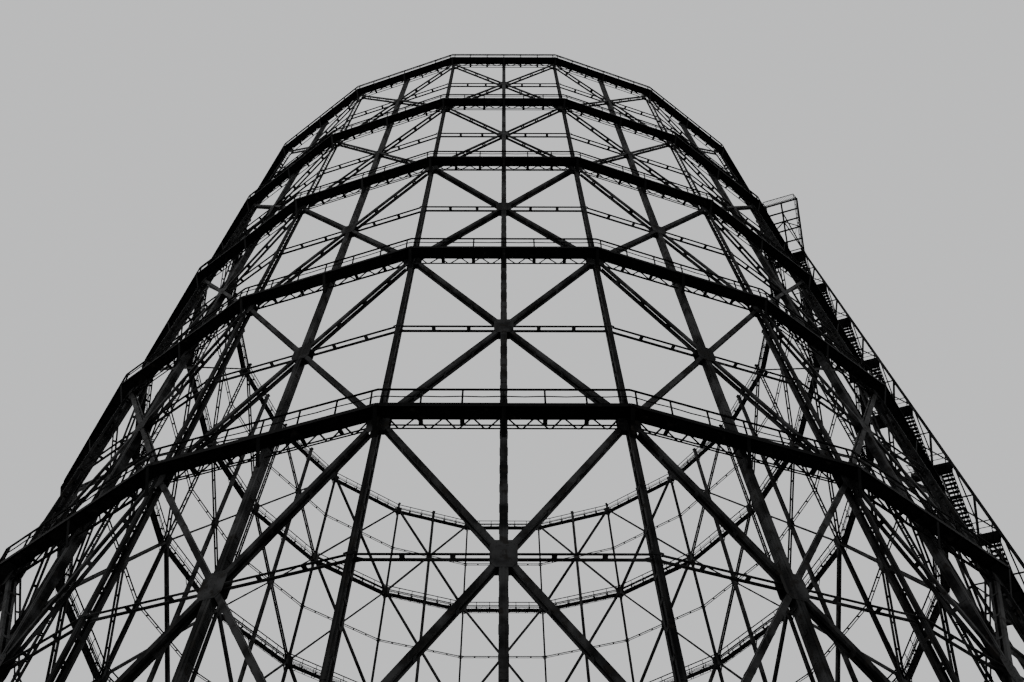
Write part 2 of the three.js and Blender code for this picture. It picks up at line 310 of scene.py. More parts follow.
class Ironwork:
    """Plates, bars, rods and rivets gathered into one mesh. Its map runs along each member in x
    and across each face in y, both in metres; the ends of a bar, rods and rivets lie a metre or
    two to the side, where no row of rivet heads falls."""

    def __init__(self):
        self.points = []
        self.faces = []
        self.map = []
        self.smooth = []

    def face(self, corners, places=None, smooth=False):
        """One face between points that are there already."""
        self.faces.append(corners)
        self.map.append(places or [plain_spot] * len(corners))
        self.smooth.append(smooth)

    def sweep(self, outline, start, right, up, run):
        """Carries an outline, drawn in right and up, along run as a closed bar or plate."""
        start, right, up, run = (Vector(v) for v in (start, right, up, run))
        turns = zip(outline, outline[1:] + outline[:1])
        area = sum(a[0] * b[1] - b[0] * a[1] for a, b in turns)
        if area * right.cross(up).dot(run) < 0:
            outline = outline[::-1]
        count = len(outline)
        base = len(self.points)
        near = [start + right * x + up * y for x, y in outline]
        self.points += near + [point + run for point in near]
        length = run.length
        for i in range(count):
            j = (i + 1) % count
            half = (near[j] - near[i]).length / 2
            places = [(0, -half), (0, half), (length, half), (length, -half)]
            self.face([base + i, base + j, base + count + j, base + count + i], places)
        ends = [(x, y + 1) for x, y in outline]
        self.face([base + i for i in reversed(range(count))], ends[::-1])
        self.face([base + count + i for i in range(count)], ends)

    def block(self, xs, outs, zs):
        """A plate or square bar between two values each of x, of out and of z."""
        outline = rectangle(xs, (-outs[1], -outs[0]))
        self.sweep(outline, (0, 0, zs[0]), rightwards, inwards, (0, 0, zs[1] - zs[0]))

    def bar(self, start, end, width, depth, across):
        """A flat bar from start to end. Its width lies along across."""
        start, end, across = Vector(start), Vector(end), Vector(across)
        run = end - start
        across = (across - run * across.dot(run) / run.length_squared).normalized()
        outline = rectangle(around(0, width), around(0, depth))
        self.sweep(outline, start, across, run.cross(across).normalized(), run)

    def rod(self, path, radius, sides=6):
        """A round rod along a path of points, with flat ends."""
        path = [Vector(point) for point in path]
        base = len(self.points)
        gone = [0.0]
        for i, point in enumerate(path):
            before, after = path[max(i - 1, 0)], path[min(i + 1, len(path) - 1)]
            ahead = (after - before).normalized()
            right = square_to(ahead)
            self.points += [point + spoke for spoke in circle(right, right.cross(ahead), radius, sides)]
            gone.append(gone[-1] + (after - point).length)
        for i in range(len(path) - 1):
            near, far = (gone[i], 2), (gone[i + 1], 2)
            for s in range(sides):
                a, b = base + i * sides + s, base + i * sides + (s + 1) % sides
                self.face([a, a + sides, b + sides, b], [near, far, far, near], True)
        last = base + (len(path) - 1) * sides
        self.face([base + s for s in range(sides)])
        self.face([last + s for s in reversed(range(sides))])

    def rivet(self, at, facing, radius=rivet_radius, rise=rivet_rise):
        """A rivet head, or a nut, on a plate that faces along facing."""
        at, facing, sides = Vector(at), Vector(facing), rivet_sides
        right = square_to(facing)
        base = len(self.points)
        for size, lift in ((radius, -rivet_root), (radius * rivet_top_share, rise)):
            middle = at + facing * lift
            self.points += [middle + spoke for spoke in circle(right, facing.cross(right), size, sides)]
        for s in range(sides):
            t = (s + 1) % sides
            self.face([base + s, base + t, base + sides + t, base + sides + s], smooth=True)
        self.face([base + sides + s for s in range(sides)], smooth=True)

    def course(self, section):
        """Carries a section, drawn in out and z, along the whole side, mitred at both corners."""
        base = len(self.points)
        reach = math.tan(half_angle)
        for side in (-1, 1):
            self.points += [Vector((side * out * reach, -out, z)) for out, z in section]
        count = len(section)
        for i in range(count):
            j = (i + 1) % count
            half = math.dist(section[i], section[j]) / 2
            wide = section[i][0] * reach
            places = [(-wide, -half), (-wide, half), (wide, half), (wide, -half)]
            self.face([base + i, base + j, base + count + j, base + count + i], places)

    def mesh(self, name, finish, turns=1):
        """The finished mesh, or turns copies of it set round the holder, one to a side."""
        points, faces = [], []
        for k in range(turns):
            cosine, sine = math.cos(k * side_angle), math.sin(k * side_angle)
            base = len(points)
            points += [(p.x * cosine - p.y * sine, p.x * sine + p.y * cosine, p.z) for p in self.points]
            faces += [[base + corner for corner in corners] for corners in self.faces]
        made = bpy.data.meshes.new(name)
        made.from_pydata(points, [], faces)
        spots = [value for places in self.map for spot in places for value in spot]
        made.uv_layers.new(name="members").data.foreach_set("uv", spots * turns)
        made.polygons.foreach_set("use_smooth", self.smooth * turns)
        made.materials.append(finish)
        return made


def place(name, mesh, slot, stands_for, angle=0.0, height=0.0):
    """Puts a mesh in its place on the holder, in place of the plain nodes that it stands for."""
    piece = bpy.data.objects.new(name, mesh)
    bpy.context.scene.collection.objects.link(piece)
    piece.rotation_euler.z = angle
    piece.location.z = height
    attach(piece, "root")
    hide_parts(*stands_for)


def crown_height(out):
    """Height of the crown at a distance from its middle: a parabola down to the rim."""
    share = out / crown_rim
    return crown_edge_height + (crown_top - crown_edge_height) * (1 - share * share)


def crown_point(out, turn, z):
    """A point by its distance and its turn round the middle, and its height."""
    return Vector((out * math.cos(turn), out * math.sin(turn), z))


def add_sheet(iron, inner, outer, start, width):
    """One thin curved sheet between two distances. Its outer edge is tilted up over the next."""
    across, along = sheet_steps
    base = len(iron.points)
    for lift in (0.0, crown_sheet_plate):
        for i in range(across + 1):
            out = inner + (outer - inner) * i / across
            tilt = crown_sheet_plate * i / across
            z = min(crown_height(min(out, crown_rim)) + tilt + lift, crown_top)
            iron.points += [crown_point(out, start + width * j / along, z) for j in range(along + 1)]
    row = along + 1
    top = (across + 1) * row
    for i in range(across):
        for j in range(along):
            a = base + i * row + j
            b = a + top
            iron.face([a + 1, a + row + 1, a + row, a], smooth=True)
            iron.face([b, b + row, b + row + 1, b + 1], smooth=True)
    rim = [i * row for i in range(across + 1)] + [across * row + j for j in range(1, along + 1)]
    rim += [i * row + along for i in reversed(range(across))] + list(reversed(range(1, along)))
    for a, b in zip(rim, rim[1:] + rim[:1]):
        iron.face([base + a, base + b, base + top + b, base + top + a])


def crown_sheets():
    """The crown's rings of sheets, its upright rim and its flat underside."""
    iron = Ironwork()
    for ring in range(crown_rings):
        inner, outer = ring * crown_ring_width, (ring + 1) * crown_ring_width
        lap = crown_seam_margin * 2 if ring < crown_rings - 1 else 0
        count = max(least_sheets, round(math.pi * (inner + outer) / crown_sheet_length))
        gap = crown_seam_gap / outer
        for sheet in range(count):
            start = (sheet + 0.5 * (ring % 2)) * full_turn / count + gap
            add_sheet(iron, max(inner, crown_eye), outer + lap, start, full_turn / count - 2 * gap)
    steps = side_count * 4
    turns = [full_turn * i / steps for i in range(steps + 1)]
    levels = (0.0, crown_edge_height + crown_sheet_plate)
    for a, b in zip(turns, turns[1:]):
        base = len(iron.points)
        for turn in (a, b):
            iron.points += [crown_point(crown_rim, turn, z) for z in levels]
        iron.face([base, base + 2, base + 3, base + 1], smooth=True)
    base = len(iron.points)
    iron.points += [crown_point(crown_rim, turn, 0.0) for turn in turns[:-1]]
    iron.face([base + i for i in reversed(range(steps))])
    return iron


crown_paint = painted_steel("crown_coat", crown_grey, crown_faded, 0.46, ring_seam_heads,
                            crown_rust, crown_dust)
crown_mesh = crown_sheets().mesh("crown_sheets", crown_paint)
place("crown_sheets", crown_mesh, "crown_paint", ["bell_crown"])


# Corner columns. Each is a narrow box of riveted plates and angles, lighter above the fourth
# walkway, its two halves joined by batten plates. A strap covers the middle of each face,
# splice plates join the lengths, and a base plate is bolted to the tank wall.
frame_face = -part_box("side_01")[0].y
frame_back = -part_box("side_01")[1].y
frame_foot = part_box("side_01")[0].z
post_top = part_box("side_01")[1].z
tier_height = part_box("walkway_2")[0].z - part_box("walkway_1")[0].z
tiers = 6
column_width = 0.021
upper_width = 0.0175
column_face = (frame_face - column_width / 2 * math.sin(half_angle)) / math.cos(half_angle)
upright_depth = frame_face - frame_back
column_leg = 0.0124
upper_leg = 0.0076
upper_foot = 4 * tier_height
face_plate = 0.0016
leg_plate = 0.0014
strap_width = 0.007
strap_rise = 0.0012
batten_pitch = tier_height / 14
batten_height = 0.013
batten_plate = 0.0012
batten_inset = 0.004
splice_over_deck = 0.24
splice_length = 0.075
splice_plate = 0.0014
splice_inset = 0.001
splice_row_inset = 0.0045
splice_rivets = 5
cap_height = 0.020
cap_brim = 0.005
cap_step = 0.004
clamp_plate = 0.0015
clamp_height = 0.012
clamp_wing = 0.012
base_plate = 0.005
base_reach = 0.02
base_spread = 0.008
fin_plate = 0.0016
fin_height = 0.04
fin_inset = 0.004
fin_toe = 0.003
bolt_inset = 0.006
bolt_radius = 0.0034
bolt_rise = 0.003
row_from_middle = 0.0075
row_pitch = 0.015


def rivet_rows(tree):
    """Two rows of rivet heads along every face that is wide enough for them."""
    spot = parts_of(tree, add_node(tree, "UVMap", uv_map="members").outputs["UV"])
    step = minus(tree, maths(tree, "FRACT", over(tree, spot["X"], row_pitch)), 0.5)
    across = minus(tree, maths(tree, "ABSOLUTE", spot["Y"]), row_from_middle)
    return head_of(tree, across, times(tree, step, row_pitch))


def beside(side, near, far):
    """Two distances from the middle line, on one side of it, with the lower value first."""
    return sorted((side * near, side * far))


def channel(width, leg):
    """Outline of a channel: its face on the line y = 0, its two legs towards +y."""
    half = width / 2
    inside = half - leg_plate
    return [(-half, 0), (half, 0), (half, leg), (inside, leg), (inside, face_plate),
            (-inside, face_plate), (-inside, leg), (-half, leg)]


def add_upright(iron, width, face, depth, leg, low, high):
    """Two chords, straps on their faces, and the battens that join them."""
    for out, turn in ((face, 1), (face - depth, -1)):
        iron.sweep(channel(width, leg), (0, -out, low), rightwards, (0, turn, 0), (0, 0, high - low))
        iron.block(around(0, strap_width), sorted((out, out + strap_rise * turn)), (low, high))
    for n in range(int((high - low) / batten_pitch)):
        z = low + (n + 0.5) * batten_pitch
        for side in (-1, 1):
            flank = beside(side, width / 2, width / 2 + batten_plate)
            iron.block(flank, (face - depth + batten_inset, face - batten_inset), (z, z + batten_height))


def add_splice(iron, width, face, level):
    """A splice plate over the joint of two lengths, with its two rows of rivets."""
    proud = face + strap_rise + splice_plate
    iron.block(around(0, width - 2 * splice_inset), (face, proud), (level, level + splice_length))
    for x in around(0, width - 2 * splice_row_inset):
        for n in range(splice_rivets):
            z = level + splice_length * (n + 0.5) / splice_rivets
            iron.rivet((x, -proud, z), (0, -1, 0))


def add_cap(iron, width, face, depth, top):
    """The cast cap over the head of an upright, with a step round its top."""
    step = top - cap_step
    for brim, zs in ((cap_brim, (top - cap_height, step)), (cap_brim - cap_step, (step, top))):
        iron.block(around(0, width + 2 * brim), (face - depth - brim, face + brim), zs)


def add_base(iron, width, face, depth, foot):
    """Base plate, stiffening fins and foundation bolts."""
    reach = width / 2 + base_reach
    back, front = around(face - depth / 2, depth + 2 * base_spread)
    plate_top = foot + base_plate
    iron.block((-reach, reach), (back, front), (foot, plate_top))
    for side in (-1, 1):
        root, toe = side * width / 2, side * (reach - fin_toe)
        fin = [(root, plate_top), (toe, plate_top), (root, plate_top + fin_height)]
        for out in (face - fin_inset, face - depth + fin_inset):
            iron.sweep(fin, (0, -out - fin_plate / 2, 0), rightwards, upwards, (0, fin_plate, 0))
        for out in (back + bolt_inset, front - bolt_inset):
            iron.rivet((side * (reach - bolt_inset), -out, plate_top), upwards, bolt_radius, bolt_rise)


def add_clamp(iron, level):
    """The bent plate round a column's face that takes the ends of the two ties beside it."""
    half = column_width / 2
    proud = column_face + strap_rise
    wing = half + clamp_wing
    back = frame_face / math.cos(half_angle) - wing * math.tan(half_angle)
    outline = [(-wing, -back), (-half, -proud), (half, -proud), (wing, -back)]
    outline += [(x, y - clamp_plate) for x, y in reversed(outline)]
    iron.sweep(outline, (0, 0, level - clamp_height / 2), rightwards, inwards, (0, 0, clamp_height))


def column_ironwork():
    """One column, drawn as if it stood in the middle of the front side."""
    iron = Ironwork()
    foot, head = frame_foot + base_plate, post_top - cap_height
    add_upright(iron, column_width, column_face, upright_depth, column_leg, foot, upper_foot)
    add_upright(iron, upper_width, column_face, upright_depth, upper_leg, upper_foot, head)
    add_cap(iron, upper_width, column_face, upright_depth, post_top)
    add_base(iron, column_width, column_face, upright_depth, frame_foot)
    for tier in range(tiers):
        width = column_width if tier * tier_height < upper_foot else upper_width
        add_splice(iron, width, column_face, tier * tier_height + splice_over_deck)
        add_clamp(iron, (tier + 0.5) * tier_height)
    return iron


column_paint = painted_steel("column_coat", coat_black, coat_faded, 0.40, rivet_rows)
column_mesh = column_ironwork().mesh("column_ironwork", column_paint)
for k in range(side_count):
    name = f"column_{k + 1:02d}"
    place("riveted_" + name, column_mesh, "column_paint", [name], (k + 0.5) * side_angle)


# Lattice sides. In each side stands a middle post, built like a column, and in every tier twin
# chords joined by battens run from it to the corners as half braces. Gusset plates hold them
# at the post and at the columns, and a tie of two bars crosses the middle of the tier.
post_width = 0.029
gusset_plate = 0.0015
post_face = frame_face - gusset_plate
post_depth = upright_depth - 2 * gusset_plate
post_leg = post_depth / 2 - 0.0004
frame_middle = (frame_face + frame_back) / 2
corner_x = frame_middle * math.tan(half_angle)
side_edge = frame_back * math.tan(half_angle) - upper_width / 2 / math.cos(half_angle)
half_tier = tier_height / 2
brace_length = math.hypot(corner_x, half_tier)
light_tiers = 2
heavy_brace = 0.020
light_brace = 0.0155
heavy_leg = 0.0120
light_leg = 0.0112
brace_start = 0.02
brace_end_share = 0.93
brace_battens = (0.30, 0.53, 0.76)
brace_batten_length = 0.016
brace_batten_inset = 0.003
heavy_gusset = (0.0445, 0.056)
light_gusset = (0.032, 0.042)
gusset_slant = 0.37
gusset_drop = 0.41
post_row = 0.0095
post_row_rivets = 7
brace_rivets_along = (0.625, 0.90)
brace_rivets_across = (-0.11, 0.11)
corner_gusset_reach = 0.0425
corner_gusset_slant = 0.014
corner_gusset_waist = 0.78
corner_row_inset = 0.005
corner_row_steps = 2.4
corner_rivets = (0.058, 0.072)
front_gusset_height = 0.074
back_gusset_height = 0.054
top_gusset_share = 0.25
tie_bars = ((frame_middle - 0.0108, 0.0118, 0.0042), (frame_middle + 0.0144, 0.0100, 0.0018))
tie_ends = ((0.040, 0.013), (0.020, 0.008))
tie_batten_width = 0.018
tie_batten_past = 0.001
tie_plate = 0.0015
sill_height = 0.020
lattice_black = (0.0042, 0.0042, 0.0043, 1)
lattice_faded = (0.030, 0.0302, 0.0305, 1)


def brace_sizes(tier):
    """Width and leg of the brace chords, and the half width and height of the gusset plate."""
    if tier < tiers - light_tiers:
        return heavy_brace, heavy_leg, heavy_gusset
    return light_brace, light_leg, light_gusset


def add_chords(iron, width, leg, start, across, run):
    """A channel in the front plane and one in the back plane, their legs turned to each other."""
    for out, turn in ((post_face, 1), (post_face - post_depth, -1)):
        foot = Vector(start) - Vector((0, out, 0))
        iron.sweep(channel(width, leg), foot, across, (0, turn, 0), run)


def add_brace(iron, middle, side, rise, width, leg, end):
    """One half brace, from the crossing towards a corner: two chords and their battens."""
    ahead = Vector((side * corner_x, 0, rise * half_tier)).normalized()
    across = Vector((ahead.z, 0, -ahead.x))
    centre = Vector((0, 0, middle))
    foot = centre + ahead * brace_start
    add_chords(iron, width, leg, foot, across, ahead * (end - brace_start))
    plate = rectangle(around(0, brace_batten_length), around(0, batten_plate))
    for share in brace_battens:
        for edge in (-1, 1):
            spot = centre + ahead * (brace_length * share) + across * (edge * (width + batten_plate) / 2)
            spot.y = brace_batten_inset - post_face
            iron.sweep(plate, spot, ahead, across, (0, post_depth - 2 * brace_batten_inset, 0))


def add_gusset(iron, shape, level, out, facing):
    """A gusset plate in the front or the back plane, with the rivets that hold it."""
    outline, rivets = shape
    depth = gusset_plate * facing
    iron.sweep(outline, (0, -out - depth, level), rightwards, upwards, (0, depth, 0))
    for x, z in rivets:
        iron.rivet((x, -out, level + z), (0, facing, 0))


def crossing_gusset(half_width, half_height):
    """Outline and rivets of the plate where the four half braces meet the post."""
    quarter = [(half_width, half_height * (1 - gusset_drop)), (half_width * (1 - gusset_slant), half_height)]
    right = [(x, -z) for x, z in quarter[::-1]] + quarter
    outline = right + [(-x, z) for x, z in reversed(right)]
    rivets = []
    for side in (-1, 1):
        for n in range(post_row_rivets):
            rivets.append((side * post_row, half_height * (2 * n + 1 - post_row_rivets) / post_row_rivets))
        for rise in (-1, 1):
            ahead = Vector((side * corner_x, rise * half_tier)).normalized()
            across = Vector((ahead.y, -ahead.x))
            for far in brace_rivets_along:
                for edge in brace_rivets_across:
                    rivets.append((ahead * far + across * edge) * half_height)
    return outline, rivets


def corner_gusset(side, height, low=-1.0, high=1.0):
    """Outline and rivets of the plate that ties the braces to a column. low and high are the
    shares of its height that it keeps below and above the level of the joint."""
    inner = corner_x - corner_gusset_reach
    knee = inner + corner_gusset_slant
    upper = [(inner, height * corner_gusset_waist), (knee, height), (side_edge, height)]
    full = [(x, -z) for x, z in reversed(upper)] + upper
    outline = [(side * x, min(max(z, low * height), high * height)) for x, z in full]
    rivets = [(side_edge - corner_row_inset, height * n / corner_row_steps) for n in range(-2, 3)]
    for rise in (-1, 1):
        ahead = Vector((-corner_x, rise * half_tier)).normalized()
        rivets += [Vector((corner_x, 0)) + ahead * far for far in corner_rivets]
    return outline, [(side * x, z) for x, z in rivets if low * height < z < high * height]


def add_tie(iron, middle):
    """The heavy and the light bar of a tie, its battens, and the flared plates at its ends."""
    for side in (-1, 1):
        for out, depth, height in tie_bars:
            ends = beside(side, post_width / 2, side_edge)
            iron.block(ends, around(out, depth), around(middle, height))
        for n in (1, 2):
            wide = around(side * corner_x * n / 3, tie_batten_width)
            iron.block(wide, (tie_bars[0][0], tie_bars[1][0] + tie_batten_past), (middle - tie_plate, middle))
        for (out, depth, height), (reach, wing) in zip(tie_bars, tie_ends):
            tip = side_edge - reach
            plate = [(side_edge, -wing), (side_edge, wing), (tip, height / 2), (tip, -height / 2)]
            plate = [(side * x, z) for x, z in plate]
            iron.sweep(plate, (0, -out, middle), rightwards, upwards, (0, -tie_plate, 0))


def side_ironwork():
    """One whole side, from the sill on the tank wall to the post heads."""
    iron = Ironwork()
    foot, head = frame_foot + base_plate, post_top - cap_height
    add_upright(iron, post_width, post_face, post_depth, post_leg, foot, head)
    add_cap(iron, post_width, post_face, post_depth, post_top)
    add_base(iron, post_width, post_face, post_depth, frame_foot)
    sill_top = frame_foot + sill_height
    for side in (-1, 1):
        start = (side * post_width / 2, 0, frame_foot + sill_height / 2)
        run = (side * (side_edge - post_width / 2), 0, 0)
        add_chords(iron, sill_height, heavy_leg, start, upwards, run)
    for tier in range(tiers):
        width, leg, gusset = brace_sizes(tier)
        middle = (tier + 0.5) * tier_height
        for side in (-1, 1):
            for rise in (-1, 1):
                share = 1 - sill_top / half_tier if tier == 0 and rise < 0 else brace_end_share
                add_brace(iron, middle, side, rise, width, leg, brace_length * share)
        for out, facing in ((frame_face, -1), (frame_back, 1)):
            add_gusset(iron, crossing_gusset(*gusset), middle, out, facing)
        add_tie(iron, middle)
        add_splice(iron, post_width, post_face, tier * tier_height + splice_over_deck)
    planes = ((frame_face, -1, front_gusset_height), (frame_back, 1, back_gusset_height))
    for side in (-1, 1):
        for out, facing, height in planes:
            add_gusset(iron, corner_gusset(side, height, low=0.0), sill_top, out, facing)
            for tier in range(1, tiers):
                add_gusset(iron, corner_gusset(side, height), tier * tier_height, out, facing)
            top = corner_gusset(side, height, high=top_gusset_share)
            add_gusset(iron, top, tiers * tier_height, out, facing)
    return iron


lattice_paint = painted_steel("lattice_coat", lattice_black, lattice_faded, 0.42, rivet_rows)
side_mesh = side_ironwork().mesh("side_ironwork", lattice_paint)
for k in range(side_count):
    name = f"side_{k + 1:02d}"
    place("riveted_" + name, side_mesh, "lattice_paint", [name], k * side_angle)


# Walkways. At every tier a steel deck runs round outside the frame between an edge channel and
# a laced ring girder of angles and flat bars. Flat knee strips run from the deck's edge down to
# the posts and columns, and pipe handrails stand outside and inside.
deck_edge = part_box("walkway_1")[1].y
deck_inner = frame_face - 0.0025
deck_plate = 0.0016
deck_lip = 0.0014
deck_lip_foot = -0.006
deck_joists = 11
joist_width = 0.003
joist_height = 0.005
edge_height = 0.021
edge_flange = 0.009
edge_web = 0.0016
edge_leg = 0.0014
cover_width = 0.016
cover_plate = 0.0012
cover_rivet = 0.0016
cover_rivet_back = 0.010
cover_rivet_levels = (0.007, 0.019)
edge_inset = 0.002
girder_drop = 0.0615
girder_out = frame_face - 0.0035
girder_bar = 0.0058
girder_plate = 0.0026
inner_chord = frame_back + 0.0065
inner_chord_width = 0.0066
lacing_first = 0.0665
lacing_pitch = 0.109
lacing_radius = 0.0041
lacing_bends = 4
bend_flat = 0.007
bend_rise = 0.002
kerb_height = 0.032
kerb_radius = 0.0016
kerb_bar = 0.004
kerb_bar_height = 0.003
hanger_width = 0.018
hanger_levels = (-0.003, -0.001)
third = corner_x / 3
knee_drop = 0.115
knee_width = 0.016
knee_plate = 0.0018
knee_head = (0.003, 0.0005)
knee_seat = 0.001
rail_height = 0.103
rail_out = deck_edge + 0.004
rail_radius = 0.0052
rail_bend = 0.014
rail_bend_share = 0.985
rail_end_in = 0.001
rail_post_foot = (0.004, 0.002)
rail_post_radius = 0.0042
middle_rail_height = 0.059
middle_rail_radius = 0.0030
middle_rail_sag = 0.004
corner_post_back = 0.0245
inner_rail_height = 0.098
inner_rail_out = frame_face - 0.006
inner_rail_radius = 0.0060
inner_post_radius = 0.0042
inner_middle_share = 0.52
inner_rail_past = 0.006
# The walkway coat is a darker copy of the frame's painted steel. Its near-black paint and faded colours are
# painted shade for the shade on the deck undersides. Its dust colour is real dust made darker as painted
# shade, so the tops of the deck edges stay black.
walkway_shade_black = (0.0009, 0.0009, 0.0009, 1)
walkway_shade_faded = (0.0022, 0.0022, 0.0023, 1)
walkway_dust_and_shade = (0.0080, 0.0078, 0.0076, 1)


def edge_channel():
    """Section of the channel along the deck's outer edge, its legs turned in."""
    back = deck_edge - edge_flange
    web = deck_edge - edge_web
    upper = edge_height - edge_leg
    return [(deck_edge, 0), (deck_edge, edge_height), (back, edge_height), (back, upper),
            (web, upper), (web, edge_leg), (back, edge_leg), (back, 0)]


def add_zigzag(iron, out, low, high, radius):
    """A bar bent to and fro between two levels, from the middle post to the corner plates."""
    reach, foot = lacing_pitch / 2 - bend_flat, low + bend_rise
    turns = ((-reach, high), (-bend_flat, foot), (0.0, low), (bend_flat, foot), (reach, high))
    for side in (-1, 1):
        middles = [lacing_first + n * lacing_pitch for n in range(lacing_bends)]
        iron.rod([(side * (middle + x), -out, z) for middle in middles for x, z in turns], radius, 4)


def add_girder(iron):
    """The laced ring girder under the deck, its inner chord level with it, and a lattice kerb."""
    add_zigzag(iron, girder_out, -girder_drop, -deck_plate, lacing_radius)
    add_zigzag(iron, girder_out, deck_plate, kerb_height, kerb_radius)
    iron.course(rectangle(around(girder_out, kerb_bar), (kerb_height, kerb_height + kerb_bar_height)))
    for side in (-1, 1):
        ends = beside(side, post_width / 2, side_edge)
        iron.block(ends, around(girder_out, girder_bar), (-girder_drop, -girder_drop + girder_plate))
        iron.block(ends, around(inner_chord, inner_chord_width), (-girder_plate, 0.0))
        for x in (third, 2 * third):
            iron.block(around(side * x, hanger_width), (inner_chord, deck_inner), hanger_levels)


def add_knee(iron, angle, face, edge):
    """A flat strip from under the deck's edge down to the face of a post or column."""
    out = Vector((math.sin(angle), -math.cos(angle), 0))
    across = Vector((math.cos(angle), math.sin(angle), 0))
    head = out * (edge - knee_head[0]) + Vector((0, 0, -knee_head[1]))
    foot = out * (face + knee_seat) + Vector((0, 0, -knee_drop))
    iron.bar(head, foot, knee_width, knee_plate, across)


def add_outer_rail(iron):
    """Top rail with rounded corners, sagging middle rail, and the rail posts."""
    corner = rail_out * math.tan(half_angle)
    bend = []
    for turn in (0.0, half_angle / 2, half_angle):
        along = corner - rail_bend + rail_bend * math.sin(turn) / math.sin(half_angle) * rail_bend_share
        bend.append((along, -rail_out + rail_bend * (1 - math.cos(turn)), rail_height))
    iron.rod([(-x, y, z) for x, y, z in reversed(bend)] + bend, rail_radius)
    last = corner - corner_post_back
    stops = [-last, -2 * third, -third, 0.0, third, 2 * third, last]
    halfway = [(a + b) / 2 for a, b in zip(stops, stops[1:])]
    path = [(x, -rail_out, middle_rail_height) for x in stops]
    path += [(x, -rail_out, middle_rail_height - middle_rail_sag) for x in halfway]
    path += [(x, rail_end_in - rail_out, middle_rail_height) for x in (-corner, corner)]
    iron.rod(sorted(path), middle_rail_radius, 4)
    inset, sunk = rail_post_foot
    for x in stops:
        foot = (x, inset - deck_edge, edge_height - sunk)
        iron.rod([foot, (x, -rail_out, rail_height)], rail_post_radius, 5)


def add_inner_rail(iron):
    """The rail along the inner side of the deck, between the posts and the columns."""
    ends = (post_width / 2, side_edge + inner_rail_past)
    middle = inner_rail_height * inner_middle_share
    for side in (-1, 1):
        for z, radius in ((inner_rail_height, inner_rail_radius), (middle, middle_rail_radius)):
            iron.rod([(side * x, -inner_rail_out, z) for x in ends], radius, 5)
        for x in (third, 2 * third):
            iron.rod([(side * x, -inner_rail_out, z) for z in (0.0, inner_rail_height)], inner_post_radius, 4)


def walkway_ironwork():
    """One side of a walkway, with its ring level at z = 0."""
    iron = Ironwork()
    iron.course(rectangle((deck_inner, deck_edge - edge_web), (0.0, deck_plate)))
    iron.course(rectangle((deck_inner - deck_lip, deck_inner), (deck_lip_foot, deck_plate)))
    iron.course(edge_channel())
    corner = deck_edge * math.tan(half_angle)
    pitch = corner * 2 / (deck_joists + 1)
    for n in range(deck_joists):
        x = (n - (deck_joists - 1) / 2) * pitch
        iron.block(around(x, joist_width), (deck_inner, deck_edge - edge_inset), (-joist_height, 0.0))
    add_girder(iron)
    add_knee(iron, 0.0, frame_face, deck_edge)
    add_knee(iron, half_angle, column_face, deck_edge / math.cos(half_angle))
    add_outer_rail(iron)
    add_inner_rail(iron)
    proud = deck_edge + cover_plate
    for side in (-1, 1):
        cover = beside(side, corner - cover_width, corner)
        iron.block(cover, (deck_edge, proud), (edge_inset, edge_height - edge_inset))
        for z in cover_rivet_levels:
            iron.rivet((side * (corner - cover_rivet_back), -proud, z), (0, -1, 0), cover_rivet)
    return iron


# The walkway finish carries painted shade: the frame's weathered coat, made near-black with darkened dust.
walkway_paint = painted_steel("walkway_shade_coat", walkway_shade_black, walkway_shade_faded, 0.36, dust=walkway_dust_and_shade)
walkway_mesh = walkway_ironwork().mesh("walkway_ironwork", walkway_paint, side_count)
for tier in range(1, tiers + 1):
    name = f"walkway_{tier}"
    place("laced_" + name, walkway_mesh, "walkway_paint", [name], height=tier * tier_height)


# Stair tower. Two end frames of angles stand outside the walkways on one side, with struts at
# every quarter of a tier and a flat, a long and two thin diagonals under each landing. The
# posts stand on base plates.
stair_angle = 4 * side_angle
tower_inner = 3.265
tower_outer = 3.435
tower_length = 0.490
tower_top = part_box("stair_tower_near_frame")[1].z
tower_leg = 0.0225
tower_angle_plate = 0.0036
tower_base_width = 0.028
tower_base_plate = 0.004
tower_head_bars = ((0.004, 0.008, 0.003), (0.059, 0.005, 0.002))
quarter_tier = tier_height / 4
strut_width = 0.013
strut_plate = 0.0016
brace_flat = 0.017
brace_web = brace_flat * 0.7
brace_plate = 0.0018
brace_foot_out = tower_inner + 0.040
lowest_brace = 0.010
thin_flat = 0.0066
thin_plate = 0.0016
thin_gap = 0.012
long_flat = 0.0095
long_plate = 0.0024
long_head_drop = 0.050
long_foot_out = 3.348


def angle_section(leg, plate):
    """Outline of a rolled angle with its corner at the origin."""
    return [(0, 0), (leg, 0), (leg, plate), (plate, plate), (plate, leg), (0, leg)]


def add_cross(iron, start, end, width, depth, plate, across):
    """Two flats crossed along one line, for a pair of angles back to back."""
    iron.bar(start, end, width, plate, across)
    iron.bar(start, end, plate, depth, across)


